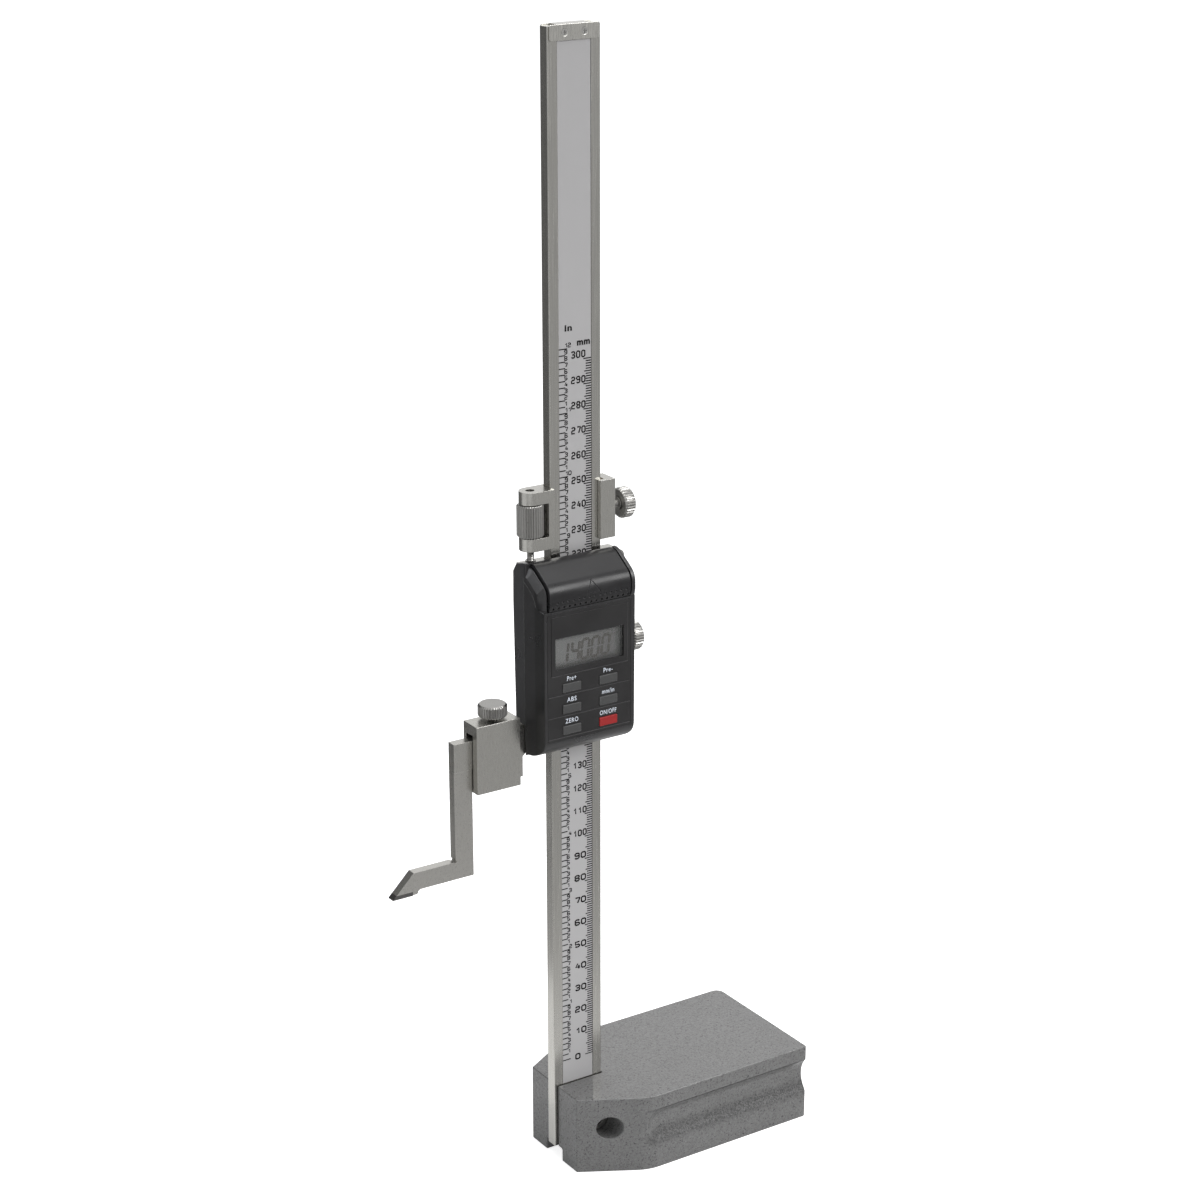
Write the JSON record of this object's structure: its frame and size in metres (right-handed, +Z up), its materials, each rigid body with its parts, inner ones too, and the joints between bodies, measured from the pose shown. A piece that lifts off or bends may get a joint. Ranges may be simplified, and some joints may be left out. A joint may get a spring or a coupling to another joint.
{
  "type": "height gauge",
  "caption": "Digital height gauge: cast foot, steel beam with a printed scale, sliding display head, fine adjusting carriage and a clamped scriber with a hard metal tip.",
  "frame": {"origin": "on the plane of the foot's underside, below the middle of the beam", "axes": "+X along the foot, away from the scriber; +Y to the back, away from the display; +Z up along the beam"},
  "size_m": [0.1856, 0.065, 0.472],
  "materials": {
    "casting": "hammered grey paint over cast iron",
    "beam_steel": "satin stainless steel",
    "scale_enamel": "matte light grey metal strip with black printed scale",
    "slider_steel": "ground stainless steel",
    "knob_steel": "bright knurled steel",
    "screw_steel": "plain steel",
    "brass": "plain brass",
    "black_plastic": "black moulded plastic, finely textured",
    "panel_film": "dark grey printed film",
    "key_plastic": "dark grey keys",
    "red_key_plastic": "red key",
    "clear_lens": "clear lens",
    "lcd_glass": "grey-green liquid crystal display",
    "contact_rubber": "grey silicone rubber",
    "board": "green circuit board",
    "cell_steel": "nickel plated cell",
    "carbide": "dark hard metal"
  },
  "bodies": {
    "stand": {"base": "casting", "beam": "beam_steel", "scale_strip": "scale_enamel", "end_stop": "beam_steel", "end_stop_screws": "screw_steel", "beam_clamp_screw": "screw_steel"},
    "carriage_body": {"carriage": "slider_steel", "carriage_gib": "brass"},
    "carriage_lock": {"carriage_lock_screw": "knob_steel"},
    "fine_nut": {"fine_adjust_nut": "knob_steel"},
    "slider": {"slider_frame": "slider_steel", "slider_gib": "brass", "gib_screws": "screw_steel", "fine_adjust_screw": "screw_steel", "display_housing": "black_plastic", "housing_back": "black_plastic", "housing_screws": "screw_steel", "front_panel": "panel_film", "display_lens": "clear_lens", "lcd_module": "lcd_glass", "contact_strips": "contact_rubber", "main_board": "board", "board_screws": "screw_steel", "sensor_board": "board", "pin_header": "black_plastic", "keypad": "contact_rubber", "battery_cell": "cell_steel", "battery_contact_rear": "brass", "battery_contact_side": "brass"},
    "slider_lock": {"slider_lock_screw": "knob_steel"},
    "preset_plus": {"preset_plus_button": "key_plastic"},
    "preset_minus": {"preset_minus_button": "key_plastic"},
    "abs_key": {"abs_button": "key_plastic"},
    "unit_key": {"unit_button": "key_plastic"},
    "zero_key": {"zero_button": "key_plastic"},
    "power_key": {"power_button": "red_key_plastic"},
    "lid": {"battery_lid": "black_plastic"},
    "clamp": {"clamp_box": "slider_steel"},
    "clamp_knob": {"clamp_screw": "knob_steel"},
    "scriber_body": {"scriber": "slider_steel", "carbide_tip": "carbide"}
  },
  "joints": [
    {"name": "carriage_slide", "type": "slide", "parent": "stand", "child": "carriage_body", "axis": [0, 0, 1], "range_m": [-0.137, 0.16]},
    {"name": "fine_nut_turn", "type": "hinge", "parent": "carriage_body", "child": "fine_nut", "pos_m": [-0.0196, -0.0003, 0.2837], "axis": [0, 0, 1], "range_deg": [-2160, 2160]},
    {"name": "slider_slide", "type": "slide", "parent": "carriage_body", "child": "slider", "axis": [0, 0, 1], "range_m": [-0.003, 0.003]},
    {"name": "carriage_lock_turn", "type": "hinge", "parent": "carriage_body", "child": "carriage_lock", "pos_m": [0.025, -0.0003, 0.2837], "axis": [1, 0, 0], "range_deg": [0, 360]},
    {"name": "slider_lock_turn", "type": "hinge", "parent": "slider", "child": "slider_lock", "pos_m": [0.028, -0.0003, 0.227], "axis": [1, 0, 0], "range_deg": [0, 360]},
    {"name": "clamp_slide", "type": "slide", "parent": "slider", "child": "clamp", "axis": [1, 0, 0], "range_m": [-0.008, 0.0038]},
    {"name": "clamp_screw_turn", "type": "hinge", "parent": "clamp", "child": "clamp_knob", "pos_m": [-0.0391, -0.0022, 0.206], "axis": [0, 0, 1], "range_deg": [0, 360]},
    {"name": "scriber_slide", "type": "slide", "parent": "clamp", "child": "scriber_body", "axis": [-1, 0, 0], "range_m": [0, 0.01]},
    {"name": "lid_slide", "type": "slide", "parent": "slider", "child": "lid", "axis": [0, 0, 1], "range_m": [0, 0.014]},
    {"name": "preset_plus_press", "type": "slide", "parent": "slider", "child": "preset_plus", "axis": [0, 1, 0], "range_m": [0, 0.0005], "stiffness_N_per_m": 400},
    {"name": "preset_minus_press", "type": "slide", "parent": "slider", "child": "preset_minus", "axis": [0, 1, 0], "range_m": [0, 0.0005], "stiffness_N_per_m": 400},
    {"name": "abs_press", "type": "slide", "parent": "slider", "child": "abs_key", "axis": [0, 1, 0], "range_m": [0, 0.0005], "stiffness_N_per_m": 400},
    {"name": "unit_press", "type": "slide", "parent": "slider", "child": "unit_key", "axis": [0, 1, 0], "range_m": [0, 0.0005], "stiffness_N_per_m": 400},
    {"name": "zero_press", "type": "slide", "parent": "slider", "child": "zero_key", "axis": [0, 1, 0], "range_m": [0, 0.0005], "stiffness_N_per_m": 400},
    {"name": "power_press", "type": "slide", "parent": "slider", "child": "power_key", "axis": [0, 1, 0], "range_m": [0, 0.0005], "stiffness_N_per_m": 400}
  ],
  "couplings": [
    {"joint": "fine_nut_turn", "follows": "slider_slide", "rad_per_m": -12566}
  ]
}
